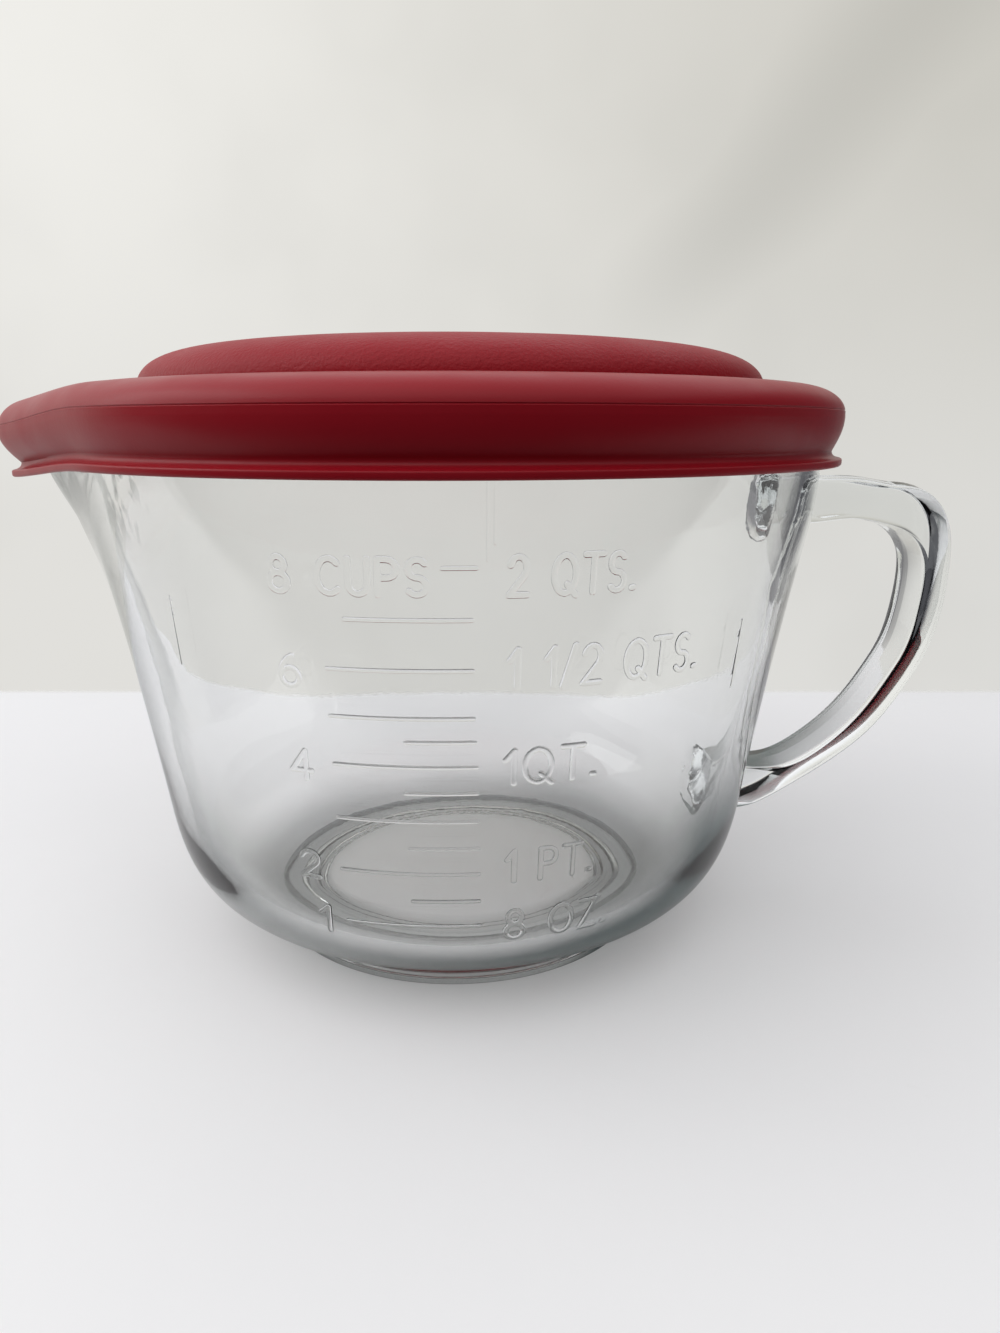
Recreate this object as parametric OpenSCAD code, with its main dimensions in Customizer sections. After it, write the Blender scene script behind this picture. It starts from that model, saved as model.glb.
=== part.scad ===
// Batter bowl of clear pressed glass with a loop handle, a pouring spout and a
// raised measuring scale, under a press-on lid of moulded plastic.
// Millimetres. +Z is up and +X points at the handle. The origin is on the
// bowl's own axis, in the plane that the foot stands on.

/* [Foot] */
// Outer radius of the foot ring
foot_r = 53.5; // [47:0.5:58]
// Height of the foot ring's upright side
foot_h = 4; // [3:0.25:6]
// Width of the ring that the bowl stands on
foot_w = 5; // [3:0.25:8]
// Rounding of the foot ring's edges
foot_round = 0.8; // [0.4:0.1:1.2]
// Depth of the hollow inside the foot ring
hollow_h = 2.4; // [1.5:0.1:3]
// How far the raised disc in the middle of the hollow lies inside the foot's side
disc_in = 12.5; // [10:0.25:20]
// Height of the step round that disc
disc_step = 0.8; // [0.4:0.1:1.2]

/* [Bowl] */
// Height of the rim above the table
bowl_h = 141.4; // [125:0.5:160]
// Outer radius of the upright band under the rim
rim_r = 93.4; // [88:0.2:105]
// Thickness of the glass at the rim
rim_t = 4.8; // [4:0.1:6]
// Rounding of the rim's two edges
rim_round = 1.8; // [0.8:0.1:2]
// Height of the upright band
band_h = 24.4; // [18:0.2:30]
// Height over which the wall swells out into the band
swell_h = 7; // [4:0.5:10]
// How far the wall steps out into the band
band_step = 1.5; // [0.8:0.1:3]
// Outer radius of the wall where the heel begins
heel_r = 79.8; // [74:0.2:84]
// Height at which the heel begins
heel_h = 38; // [32:0.5:44]
// How far the wall is drawn in from a straight line, at half height
wall_bow = 0.6; // [0:0.1:1.5]
// Thickness of the wall
wall_t = 4.6; // [3.5:0.1:6]
// Height of the inside floor above the table
floor_h = 9; // [7:0.25:12]
// Radius of the flat part of the inside floor
floor_r = 40; // [34:0.5:44]
// How far above the heel the inside wall leaves its curve
inner_heel_up = 6; // [2:0.5:12]

/* [Spout] */
// How far the lip reaches out beyond the rim
spout_out = 15.1; // [11:0.1:18]
// Radius of the spout's nose, seen from above
spout_r = 14; // [11:0.25:18]
// Height at which the spout starts to leave the wall
spout_foot_h = 50; // [42:1:70]
// Height at which the spout turns outward into its lip
spout_turn_h = 112; // [104:0.5:116]
// How far the spout stands out of the wall at that height
spout_turn_out = 6.4; // [4:0.2:8]
// Thickness of the glass in the spout
spout_t = 4; // [3:0.1:4.6]
// How far the lip lies below the rim
spout_dip = 3.4; // [2:0.1:5]
// How far in from the lip the rim starts to fall
dip_l = 28.5; // [22:0.5:34]

/* [Handle] */
// How far the handle stands out beyond the rim
handle_out = 48.1; // [40:0.5:56]
// Thickness of the handle, seen from the side, on its grip
handle_t = 8.8; // [7:0.1:11]
// Width of the handle, across the fingers
handle_w = 13; // [11:0.25:16]
// Rounding of the handle's long edges
handle_edge = 3.2; // [2:0.1:3.4]

/* [Measuring scale] */
// Length of the lines for whole cups
line_l = 27; // [20:0.5:34]
// Length of the lines for half cups
half_line_l = 13.5; // [8:0.5:18]
// Height of a raised line, along the wall
line_w = 0.9; // [0.6:0.1:1.4]
// How far a raised line stands out of the wall
line_rise = 0.45; // [0.3:0.05:0.7]
// Gap between the lines' ends and the middle of the scale
line_gap = 3; // [1:0.25:6]

/* [Lid] */
// Wall thickness of the lid
lid_t = 1.7; // [1.3:0.05:2]
// Gap between the rim and the underside of the lid
seat_gap = 0.3; // [0.2:0.05:0.6]
// Gap between the glass and the neck of the lid's skirt
neck_gap = 0.5; // [0.35:0.05:0.8]
// How far the skirt swells out beyond its neck
swell = 2.3; // [1.5:0.1:3.5]
// Width of the rounded shoulder on the lid's ring
ring_w = 9.9; // [7:0.1:12]
// Height of that shoulder, down to the widest line
ring_h = 5.4; // [4:0.1:7]
// How much narrower the shoulder is inside, so that the underside seats flat
seat_w = 3.4; // [2.4:0.1:5]
// Height of the straight stretch at the widest line
side_h = 1; // [0.5:0.1:2]
// Height from that stretch down to the neck
skirt_h = 8.4; // [6:0.2:10]
// Height from the neck down to the lid's lower edge
hem_h = 3.4; // [2.8:0.1:5]
// Thickness of the flange along the lower edge
flange_t = 1.8; // [1.2:0.1:2.4]
// How far the flange stands out beyond the neck
flange_out = 2.4; // [1.5:0.1:3.5]
// How far the flange's upper face falls from the neck to its edge
flange_slope = 0.6; // [0.2:0.1:0.8]
// Width of the flat ring between the rounded shoulder and the raised middle
dome_gap = 9; // [7:0.5:20]
// Height of the raised middle above the ring
dome_h = 9.6; // [6:0.2:14]
// How far the skirt swells out beyond its neck, round the spout
nose_swell = 4.4; // [3:0.1:6]
// Width of the rounded shoulder over the spout
nose_round = 7; // [5:0.1:9]

/* [Hidden] */
$fn = 120;
// Faces of the discs that blend into the spout and into the lid's nose
blend_faces = 40;
// How far a cut runs past the faces that it opens
overrun = 2;
// Thickness of the thin discs that a blend is stretched over
skin = 0.05;
// How deep a blend or a raised line starts inside the glass
sink = 0.3;
// Points on each rounded stretch of an outline
round_steps = 5;
// Points on each long curve of an outline
curve_steps = 12;

// Directions and lengths of the control arms of the heel's two curves
heel_arm_share = 0.72;
heel_angle = 25;
heel_side_share = 0.6;
inner_heel_arm_share = 0.62;
inner_heel_side_share = 0.6;
// Fullness of the lid's raised middle, across it and up its edge
dome_across = 8;
dome_up = 2;

// Heights of the lines for one to eight cups, as shares of the bowl's height
cup_shares = [0.219, 0.313, 0.404, 0.489, 0.566, 0.636, 0.706, 0.769];
// Heights of the lines for one and a half to four and a half cups
half_cup_shares = [0.263, 0.355, 0.446, 0.528];

// The handle's middle line from the wall under the rim round to the heel: how far
// it lies out of the wall, its height, its thickness and its width, as shares of
// the handle's reach, the bowl's height, the handle's thickness and its width
handle_shares = [
    [-0.06, 0.808, 2.00, 1.15],
    [0.055, 0.809, 1.65, 1.05],
    [0.21, 0.811, 1.46, 1.00],
    [0.395, 0.812, 1.36, 1.00],
    [0.59, 0.802, 1.36, 1.00],
    [0.77, 0.787, 1.50, 1.00],
    [0.895, 0.751, 1.36, 1.00],
    [0.98, 0.697, 1.09, 1.00],
    [1.018, 0.636, 1.00, 1.00],
    [1.03, 0.573, 0.99, 1.00],
    [1.01, 0.502, 0.93, 1.00],
    [0.94, 0.437, 0.91, 1.00],
    [0.80, 0.352, 0.88, 1.00],
    [0.565, 0.276, 0.80, 1.00],
    [0.365, 0.235, 0.93, 1.00],
    [0.19, 0.217, 1.40, 1.03],
    [0.045, 0.211, 1.70, 1.10],
    [-0.08, 0.208, 1.80, 1.15],
];
// Points between two rows of that table, and round each corner of the handle
path_steps = 2;
corner_steps = 3;
// Largest rounding of the handle's edges, as a share of its thickness or width
most_edge_share = 0.45;

// How far inside the wall the spout's blend starts, below the wall's own bow
blend_in = wall_bow + sink;
disc_r = foot_r - disc_in;
wall_top_r = rim_r - band_step;
wall_top_z = bowl_h - band_h - swell_h;
inner_heel_h = heel_h + inner_heel_up;
spout_reach = rim_r + spout_out;
spout_c = spout_reach - spout_r;
dip_start = spout_reach - dip_l;
dip_angle = atan(spout_dip / dip_l);
// How far the rim has fallen at the middle of the spout's nose
nose_drop = (spout_c - dip_start) * tan(dip_angle);
crest_z = bowl_h + seat_gap + lid_t;
ring_z = crest_z - ring_h;
skirt_top_z = ring_z - side_h;
neck_z = skirt_top_z - skirt_h;
hem_z = neck_z - hem_h;
neck_r = rim_r + neck_gap + lid_t;
lid_r = neck_r + swell;
dome_r = lid_r - ring_w - dome_gap;
nose_neck_r = spout_r + neck_gap + lid_t;
nose_r = nose_neck_r + nose_swell;

// Point at t along a curve with four control points
function curve_point(p0, p1, p2, p3, t) =
    pow(1 - t, 3) * p0 + 3 * pow(1 - t, 2) * t * p1
    + 3 * (1 - t) * t * t * p2 + pow(t, 3) * p3;

function curve(p0, p1, p2, p3) =
    [for (i = [0:curve_steps]) curve_point(p0, p1, p2, p3, i / curve_steps)];

// Quarter of an ellipse about c, from angle a0 to angle a1
function quarter(c, rx, rz, a0, a1) =
    [for (i = [0:round_steps])
        let (a = a0 + (a1 - a0) * i / round_steps)
        [c[0] + rx * cos(a), c[1] + rz * sin(a)]];

// Radius of the wall's outside, t of the way from the heel up to the swelling
function wall_r(t) = heel_r + (wall_top_r - heel_r) * t - 4 * wall_bow * t * (1 - t);

// Outside of the wall from the heel to the top of the swelling
wall_side = concat(
    [for (i = [1:curve_steps])
        let (t = i / curve_steps)
        [wall_r(t), heel_h + (wall_top_z - heel_h) * t]],
    [for (i = [1:round_steps])
        let (t = i / round_steps)
        [wall_top_r + (rim_r - wall_top_r) * (1 - cos(180 * t)) / 2,
         wall_top_z + swell_h * t]]);

wall_lean = atan((wall_top_r - heel_r - 4 * wall_bow) / (wall_top_z - heel_h));

// Outside of the heel from the foot ring to the wall
heel_side =
    let (low = [foot_r, foot_h + foot_round * 2],
         high = [heel_r, heel_h],
         arm = (heel_r - foot_r) * heel_arm_share,
         rise = (heel_h - foot_h) * heel_side_share)
    curve(low, low + arm * [cos(heel_angle), sin(heel_angle)],
          high - rise * [sin(wall_lean), cos(wall_lean)], high);

outer_side = concat(heel_side, wall_side);

// Radius of the bowl's outside at height z
function outer_r(z) = lookup(z, [for (p = outer_side) [p[1], p[0]]]);

// Half of the glass blank's outline: the foot's hollow, the foot, the heel, the
// wall and the rim, closed along the axis
blank_outline = concat(
    [[0, hollow_h],
     [disc_r - disc_step, hollow_h],
     [disc_r + disc_step, hollow_h - disc_step],
     [foot_r - foot_w - foot_round, hollow_h - disc_step],
     [foot_r - foot_w, 0]],
    quarter([foot_r - foot_round, foot_round], foot_round, foot_round, -90, 0),
    [[foot_r, foot_h]],
    outer_side,
    quarter([rim_r - rim_round, bowl_h - rim_round], rim_round, rim_round, 0, 90),
    [[0, bowl_h]]);

// Half of the outline of the space inside the bowl, open above the rim
inner_heel_r = outer_r(inner_heel_h) - wall_t;
cavity_outline = concat(
    [[0, floor_h]],
    curve([floor_r, floor_h],
          [floor_r + (inner_heel_r - floor_r) * inner_heel_arm_share, floor_h],
          [inner_heel_r - (inner_heel_h - floor_h) * inner_heel_side_share * sin(wall_lean),
           inner_heel_h - (inner_heel_h - floor_h) * inner_heel_side_share * cos(wall_lean)],
          [inner_heel_r, inner_heel_h]),
    [for (p = wall_side) if (p[1] > inner_heel_h && p[1] < wall_top_z) [p[0] - wall_t, p[1]]],
    [[wall_top_r - wall_t, wall_top_z],
     [rim_r - rim_t, wall_top_z + swell_h / 2],
     [rim_r - rim_t, bowl_h - rim_round]],
    quarter([rim_r - rim_t + rim_round, bowl_h - rim_round], -rim_round, rim_round, 0, 90),
    [[rim_r - rim_t + rim_round, bowl_h + overrun],
     [0, bowl_h + overrun]]);

// Thin disc of radius r at height z, its middle x out along the spout
module slice(x, z, r) {
    translate([-x, 0, z]) cylinder(h = skin, r = r, center = true, $fn = blend_faces);
}

// Solid from the bowl's axis out to the spout's nose, up to height top_z. The nose
// is drawn in by nose_in, and the wall and rim that it leaves by wall_in and rim_in.
module spout_body(nose_in, wall_in, rim_in, top_z) {
    turn_r = outer_r(spout_turn_h);
    foot_wall_r = outer_r(spout_foot_h);
    // From the wall's lower part to the turn
    hull() {
        slice(0, spout_foot_h, foot_wall_r - wall_in);
        slice(foot_wall_r - spout_r, spout_foot_h, spout_r - sink - nose_in);
        slice(0, spout_turn_h, turn_r - wall_in);
        slice(turn_r + spout_turn_out - spout_r, spout_turn_h, spout_r - nose_in);
    }
    // From the turn to the lip
    hull() {
        slice(0, spout_turn_h, turn_r - wall_in);
        slice(turn_r + spout_turn_out - spout_r, spout_turn_h, spout_r - nose_in);
        slice(0, top_z, rim_r - rim_in);
        slice(spout_c, top_z, spout_r - nose_in);
    }
}

// Wedge over the spout that lets the rim fall to the lip
module spout_dip_cut() {
    translate([-dip_start, 0, bowl_h])
        rotate([0, -dip_angle, 0])
            translate([-spout_reach, -rim_r, 0])
                cube([spout_reach, rim_r * 2, spout_reach]);
}

// Raised line of length l on the front of the wall at height z
module scale_line(z, l) {
    r = outer_r(z);
    span = l / r * 180 / PI;
    gap = line_gap / r * 180 / PI;
    rotate([0, 0, -90 - gap - span])
        rotate_extrude(angle = span)
            translate([r - sink - line_w, z - line_w / 2])
                square([sink + line_w + line_rise, line_w]);
}

module scale_lines() {
    for (share = cup_shares) scale_line(share * bowl_h, line_l);
    for (share = half_cup_shares) scale_line(share * bowl_h, half_line_l);
}

module glass_blank() {
    rotate_extrude() polygon(blank_outline);
}

// Glass vessel: foot, heel, wall, rim, spout and raised scale, pressed in one
module bowl() {
    color([0.83, 0.89, 0.87, 0.4])
    difference() {
        union() {
            glass_blank();
            spout_body(0, blend_in, blend_in, bowl_h - skin / 2);
            scale_lines();
        }
        rotate_extrude() polygon(cavity_outline);
        spout_body(spout_t, wall_t + blend_in, rim_t + blend_in, bowl_h + overrun);
        spout_dip_cut();
    }
}

// Point at share t between b and c on a smooth line through a, b, c and d
function between(a, b, c, d, t) =
    0.5 * (2 * b + (c - a) * t + (2 * a - 5 * b + 4 * c - d) * t * t
    + (3 * b - a - 3 * c + d) * pow(t, 3));

handle_last = len(handle_shares) - 1;

function handle_share(i) = handle_shares[max(0, min(handle_last, i))];

// Middle points of the handle with thickness and width: [x, z, thickness, width]
handle_path = [for (k = [0:handle_last * path_steps])
    let (i = min(floor(k / path_steps), handle_last - 1),
         s = between(handle_share(i - 1), handle_share(i), handle_share(i + 1),
                     handle_share(i + 2), k / path_steps - i),
         z = s[1] * bowl_h)
    [outer_r(z) + s[0] * handle_out, z, s[2] * handle_t, s[3] * handle_w]];

// Rounded oblong t thick and w wide, as points [across the path, along Y]
function oblong(t, w) =
    let (r = min(handle_edge, t * most_edge_share, w * most_edge_share))
    [for (corner = [0:3], i = [0:corner_steps])
        let (a = (corner + i / corner_steps) * 90,
             sx = corner == 0 || corner == 3 ? 1 : -1,
             sy = corner < 2 ? 1 : -1)
        [sx * (t / 2 - r) + r * cos(a), sy * (w / 2 - r) + r * sin(a)]];

function handle_ring(k) =
    let (last = len(handle_path) - 1,
         a = handle_path[max(0, k - 1)],
         b = handle_path[min(last, k + 1)],
         p = handle_path[k],
         run = [b[0] - a[0], b[1] - a[1]],
         across = [-run[1], run[0]] / norm(run))
    [for (q = oblong(p[2], p[3])) [p[0] + across[0] * q[0], q[1], p[1] + across[1] * q[0]]];

module handle_sweep() {
    rings = [for (k = [0:len(handle_path) - 1]) handle_ring(k)];
    n = len(rings[0]);
    last = len(rings) - 1;
    points = [for (ring = rings) each ring];
    sides = [for (k = [0:last - 1], j = [0:n - 1])
        let (a = k * n + j, b = k * n + (j + 1) % n)
        each [[a, b, a + n], [b, b + n, a + n]]];
    low_end = [for (j = [1:n - 2]) [0, j + 1, j]];
    high_end = [for (j = [1:n - 2]) [last * n, last * n + j, last * n + j + 1]];
    polyhedron(points, concat(sides, low_end, high_end));
}

// Glass loop handle, trimmed where it grows out of the wall
module handle() {
    color([0.80, 0.87, 0.85, 0.5])
    difference() {
        handle_sweep();
        glass_blank();
    }
}

// Height of the lid's raised middle above the ring at radius r, for radius top_r
function dome_rise(r, top_r, rise) =
    rise * pow(1 - pow(min(1, r / top_r), dome_across), 1 / dome_up);

// Raised middle from the axis to its edge, drawn in by t
function dome_side(t) =
    [for (i = [0:curve_steps * 2])
        let (r = (dome_r - t) * sin(90 * i / curve_steps / 2))
        [r, crest_z - t + dome_rise(r, dome_r - t, dome_h)]];

// Ring and skirt from the crest down to the neck, drawn in by t. The widest
// radius is r, the shoulder is w wide and the neck lies g inside the widest line.
function band_side(r, w, g, t) = concat(
    quarter([r - w, ring_z], w - t, ring_h - t, 90, 0),
    [for (i = [0:round_steps])
        let (a = 90 * i / round_steps)
        [r - t - g * (1 - cos(a)), skirt_top_z - skirt_h * a / 90]]);

lid_outline = concat(
    dome_side(0),
    band_side(lid_r, ring_w, swell, 0),
    [[neck_r, hem_z + flange_t + flange_slope],
     [neck_r + flange_out, hem_z + flange_t],
     [neck_r + flange_out, hem_z],
     [0, hem_z]]);

lid_cavity_outline = concat(
    dome_side(lid_t),
    band_side(lid_r, ring_w - seat_w, swell, lid_t),
    [[neck_r - lid_t, hem_z - overrun],
     [0, hem_z - overrun]]);

// Places its children over the spout, fallen and tilted as the rim is there
module on_nose(z) {
    translate([-spout_c, 0, z - nose_drop]) rotate([0, -dip_angle, 0]) children();
}

// Blend of the lid's band from the main ring to the nose over the spout. It starts
// a little inside the ring, so that it only shows where it leaves the ring.
module nose_band(t, w) {
    main = band_side(lid_r, w, swell, t + sink);
    nose = band_side(nose_r, nose_round, nose_swell, t);
    hull() for (i = [0:len(main) - 1]) {
        slice(0, main[i][1], main[i][0]);
        on_nose(nose[i][1])
            cylinder(h = skin, r = nose[i][0], center = true, $fn = blend_faces);
    }
}

// Blend of an upright stretch of the lid's hem from height low to height high
module nose_hem(low, high, main_r, tip_r) {
    hull() {
        translate([0, 0, low + sink])
            cylinder(h = high - low - sink * 2, r = main_r - sink, $fn = blend_faces);
        on_nose(low) cylinder(h = high - low, r = tip_r, $fn = blend_faces);
    }
}

// Press-on lid: raised middle, rounded ring, skirt and nose, moulded in one
module lid() {
    color([0.60, 0.06, 0.11])
    difference() {
        union() {
            rotate_extrude() polygon(lid_outline);
            nose_band(0, ring_w);
            nose_hem(hem_z, neck_z + sink, neck_r, nose_neck_r);
            nose_hem(hem_z, hem_z + flange_t, neck_r + flange_out, nose_neck_r + flange_out);
        }
        rotate_extrude() polygon(lid_cavity_outline);
        nose_band(lid_t, ring_w - seat_w);
        nose_hem(hem_z - overrun, neck_z + sink, neck_r - lid_t, nose_neck_r - lid_t);
    }
}

bowl();
handle();
lid();
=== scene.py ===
# Looks of a batter bowl: one pressed-glass vessel with its spout, handle and raised
# measuring scale, and a red moulded lid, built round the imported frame. Shapes are made
# in millimetres in the frame's axes: +Z up, +X at the handle, -X at the spout.
import math

import bmesh
import bpy
import numpy as np
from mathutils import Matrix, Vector


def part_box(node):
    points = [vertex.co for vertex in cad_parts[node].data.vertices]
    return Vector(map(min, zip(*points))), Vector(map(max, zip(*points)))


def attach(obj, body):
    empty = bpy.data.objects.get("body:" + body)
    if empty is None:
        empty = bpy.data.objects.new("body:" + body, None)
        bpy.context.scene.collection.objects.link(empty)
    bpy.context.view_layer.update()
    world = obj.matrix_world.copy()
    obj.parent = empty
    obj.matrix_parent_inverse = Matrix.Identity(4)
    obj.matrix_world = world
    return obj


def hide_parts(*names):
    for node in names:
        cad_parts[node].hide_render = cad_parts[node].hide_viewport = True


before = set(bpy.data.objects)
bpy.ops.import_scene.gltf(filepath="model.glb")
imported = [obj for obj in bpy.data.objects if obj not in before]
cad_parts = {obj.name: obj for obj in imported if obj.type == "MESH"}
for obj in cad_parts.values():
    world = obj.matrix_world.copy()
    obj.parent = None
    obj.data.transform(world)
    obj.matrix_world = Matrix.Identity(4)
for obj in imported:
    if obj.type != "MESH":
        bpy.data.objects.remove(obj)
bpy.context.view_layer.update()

MM = 0.001

# Sizes read from the frame
_, bowl_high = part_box("bowl")
_, lid_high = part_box("lid")
RIM_R = bowl_high.y / MM
BOWL_H = bowl_high.z / MM
LID_FLANGE_R = lid_high.y / MM
LID_TOP = lid_high.z / MM

# Camera, in the frame's axes
CAMERA_AT = (-16.64, -255.16, 133.89)
CAMERA_TILT = 75.5
CAMERA_TURN = -6.4
CAMERA_LENS = 24.95
SENSOR_W = 36.0

# Glass, outside: foot with the hollow and the disc under it, heel, wall, swell, rim
FOOT_R = 53.5
FOOT_H = 4.0
FOOT_W = 5.0
FOOT_ROUND = 0.8
HOLLOW_H = 2.4
DISC_R = 41.0
HEEL_R = 79.8
HEEL_H = 38.0
HEEL_ANGLE = 25.0
HEEL_ARM_SHARE = 0.72
HEEL_SIDE_SHARE = 0.6
WALL_BOW = 0.6
WALL_TOP_R = RIM_R - 1.5
WALL_TOP_Z = 110.0
SWELL_LOW = 103.0
SWELL_HIGH = 125.0
RIM_ROUND = 1.8

# Glass, inside
WALL_T = 4.6
RIM_T = 4.8
FLOOR_H = 9.0
FLOOR_R = 40.0
INNER_HEEL_H = 39.0
INNER_ARM_SHARE = 0.62
INNER_SIDE_SHARE = 0.6
INNER_SWELL_LOW = 100.0
# How fast the middle between the two skins draws in below the heel, per metre squared
HEEL_CURVE = 22.8

# Spout: its lip's reach out of the wall, its nose's radius, its wall, how far the rim
# dips at it and where the dip starts and ends along -X
SPOUT_OUT = 15.1
SPOUT_R = 14.0
SPOUT_T = 4.0
SPOUT_DIP = 3.4
DIP_START = 79.0
DIP_END = 112.0
SPOUT_SOFT_DEG = 2.6
# Height, and how far the spout's nose stands out of the wall there
SPOUT_RISE = [(50, 0.0), (75, 1.6), (100, 4.3), (112, 6.4), (121.7, 10.1), (131, 13.0), (BOWL_H, SPOUT_OUT)]

# Handle: reach, thickness, width, the outer ridge's place as a share of the half width,
# the inner face's draft, and the roundings along it and at its roots
HANDLE_OUT = 48.1
HANDLE_T = 8.8
HANDLE_W = 16.0
HANDLE_RIDGE_SHIFT = -0.35
HANDLE_DRAFT_DEG = 2.0
HANDLE_OUT_ROUND = 0.8
HANDLE_IN_ROUND = 1.4
HANDLE_RIDGE_ROUND = 2.0
ROOT_ROUND = 5.5
ROOT_REACH = 9.0
HANDLE_FILLET = 3.6
HANDLE_SUNK = 3.0
# Height as a share of the bowl's, and slope of the roofed outer face there
HANDLE_ROOF_DEG = [(0.20, 11.0), (0.25, 9.0), (0.45, 8.0), (0.60, 8.5), (0.70, 10.0), (0.82, 11.0)]
# Its middle line: distance out of the wall, height, thickness and width, as shares of the
# reach, the bowl's height, the thickness and the width
HANDLE_SHARES = [
    (-0.06, 0.808, 2.00, 1.15),
    (0.055, 0.809, 1.65, 1.05),
    (0.21, 0.811, 1.46, 1.00),
    (0.395, 0.812, 1.36, 1.00),
    (0.59, 0.802, 1.36, 1.00),
    (0.77, 0.787, 1.50, 1.00),
    (0.895, 0.751, 1.36, 1.00),
    (0.98, 0.697, 1.09, 1.00),
    (1.018, 0.636, 1.00, 1.00),
    (1.03, 0.573, 0.99, 1.00),
    (1.01, 0.502, 0.93, 1.00),
    (0.94, 0.437, 0.91, 1.00),
    (0.80, 0.352, 0.88, 1.00),
    (0.565, 0.276, 0.80, 1.00),
    (0.365, 0.235, 0.93, 1.00),
    (0.19, 0.217, 1.40, 1.03),
    (0.045, 0.211, 1.70, 1.10),
    (-0.08, 0.208, 1.80, 1.15),
]

# Raised measuring scale
LINE_W = 0.95
STROKE_W = 1.35
MARK_RISE = 0.2
MARK_SINK = 0.6
LETTER_GAP = 0.3
WORD_SPACE = 0.34
# Lines: left end and right end along the wall from its middle, and height
LINES = [
    (-8.6, -2.6, 109.6),
    (-27.0, -3.3, 99.7),
    (-31.0, -3.0, 89.6),
    (-31.0, -2.8, 79.6),
    (-16.0, -2.5, 74.5),
    (-30.8, -2.2, 69.0),
    (-16.2, -2.0, 63.1),
    (-30.8, -1.9, 56.6),
    (-15.6, -1.6, 50.2),
    (-30.6, -1.5, 44.0),
    (-15.3, -1.4, 37.3),
    (-30.0, -1.1, 30.8),
]
# Mould seams below the band: place along the wall, low end and high end
SEAMS = [(-0.6, 111.0, 126.0), (0.7, 114.0, 125.0), (-69.0, 86.0, 101.0), (61.0, 79.0, 94.0)]
SEAM_W = 0.45
SEAM_RISE = 0.07
# Words: text, left end, right end, height of the letters' feet, height of the letters
WORDS = [
    ("1", -36.5, -34.4, 26.9, 6.8),
    ("2", -40.2, -36.0, 41.0, 6.2),
    ("4", -40.4, -36.0, 64.8, 6.4),
    ("6", -41.0, -37.0, 85.4, 6.4),
    ("8 CUPS", -41.6, -11.4, 104.6, 6.6),
    ("8 OZ.", 4.4, 27.6, 26.6, 7.6),
    ("1 PT.", 4.4, 23.0, 41.8, 7.2),
    ("1QT.", 3.6, 22.6, 65.0, 7.4),
    ("1 1/2 QTS.", 4.0, 46.0, 85.9, 7.8),
    ("2 QTS.", 3.5, 28.0, 104.4, 7.2),
]

# Lid
LID_T = 1.35
NECK_R = LID_FLANGE_R - 2.4
LID_SWELL = 2.3
LID_R = NECK_R + LID_SWELL
RING_W = 9.9
CREST_Z = 143.4
PART_Z = 138.0
CREASE_DEG = 14.0
GROOVE = 0.14
SIDE_H = 2.0
NECK_Z = 128.6
FLANGE_T = 1.8
HEM_Z = NECK_Z - 3.4
DOME_R = 79.0
DOME_ACROSS = 8.0
DOME_UP = 2.0
NOSE_C = RIM_R + SPOUT_OUT - SPOUT_R
NOSE_R = 20.6
NOSE_ROUND = 7.0
NOSE_SWELL = 4.4
NOSE_SOFT_DEG = 2.2
VALLEY = 0.7

# Table top: where it ends behind the bowl, where painted shade darkens it towards the dim room in
# front, and how far it spreads
FLOOR_BACK = 214.0
FLOOR_FRONT = -156.0
FLOOR_SIDE = 3000.0
# Painted light: a glow on the cloth that only the camera and rays through the glass see, lifting its shade
FLOOR_FILL = 0.17


def smooth_step(t):
    t = np.clip(t, 0, 1)
    return t * t * (3 - 2 * t)


def spline(points, shares):
    """Points at the given shares of the length of a natural cubic through points"""
    p = np.array(points, float)
    step = np.linalg.norm(np.diff(p, axis=0), axis=1)
    t = np.concatenate([[0], np.cumsum(step)])
    n = len(p)
    a = np.zeros((n, n))
    b = np.zeros_like(p)
    a[0, 0] = a[-1, -1] = 1
    for i in range(1, n - 1):
        h0, h1 = t[i] - t[i - 1], t[i + 1] - t[i]
        a[i, i - 1 : i + 2] = h0, 2 * (h0 + h1), h1
        b[i] = 6 * ((p[i + 1] - p[i]) / h1 - (p[i] - p[i - 1]) / h0)
    m = np.linalg.solve(a, b)
    s = np.asarray(shares) * t[-1]
    i = np.clip(np.searchsorted(t, s) - 1, 0, n - 2)
    h = (t[i + 1] - t[i])[:, None]
    u = (s - t[i])[:, None]
    v = (t[i + 1] - s)[:, None]
    bend = (m[i] * v**3 + m[i + 1] * u**3) / (6 * h)
    return bend + (p[i] / h - m[i] * h / 6) * v + (p[i + 1] / h - m[i + 1] * h / 6) * u


def bezier(p0, p1, p2, p3, count):
    t = np.linspace(0, 1, count)[:, None]
    p0, p1, p2, p3 = (np.array(p, float) for p in (p0, p1, p2, p3))
    return (1 - t) ** 3 * p0 + 3 * (1 - t) ** 2 * t * p1 + 3 * (1 - t) * t * t * p2 + t**3 * p3


def arc(centre, rx, rz, a0, a1, count):
    """count points on an ellipse, from angle a0 to a1 in degrees"""
    a = np.radians(np.linspace(a0, a1, count))
    return np.stack([centre[0] + rx * np.cos(a), centre[1] + rz * np.sin(a)], 1)


def line(p0, p1, count):
    return np.linspace(p0, p1, count)


def join(*runs):
    """The runs as one outline, without its doubled points"""
    points = np.concatenate([np.asarray(run, float) for run in runs])
    keep = np.concatenate([[True], np.linalg.norm(np.diff(points, axis=0), axis=1) > 1e-4])
    return points[keep]


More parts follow.
